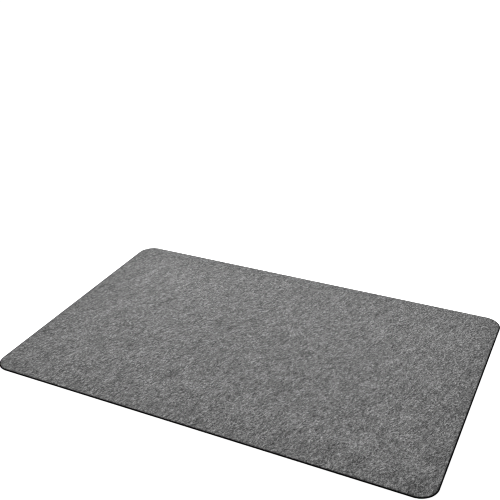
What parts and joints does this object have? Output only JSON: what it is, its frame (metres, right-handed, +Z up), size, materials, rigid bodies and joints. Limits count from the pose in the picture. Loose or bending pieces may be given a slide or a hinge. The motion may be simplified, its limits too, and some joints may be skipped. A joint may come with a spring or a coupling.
{
  "type": "chair mat",
  "caption": "Thin rectangular chair mat with rounded corners: grey felt bonded over a black anti-slip rubber base that shows as a narrow rim.",
  "frame": {"origin": "on the floor, under the middle of the mat", "axes": "+X along the long side, +Y along the short side, +Z up through the layers to the felt"},
  "size_m": [1.4, 0.9, 0.004],
  "materials": {
    "rubber": "matt black moulded rubber, embossed for grip underneath",
    "bond_film": "black hot-melt film, sealed inside the mat",
    "scrim": "open leno net of flat yarns, sealed inside the mat",
    "felt": "heathered grey needle-punched felt, low nap"
  },
  "bodies": {
    "root": {"rubber_base": "rubber", "lower_bond_film": "bond_film", "scrim": "scrim", "upper_bond_film": "bond_film", "felt_face": "felt"}
  },
  "joints": []
}
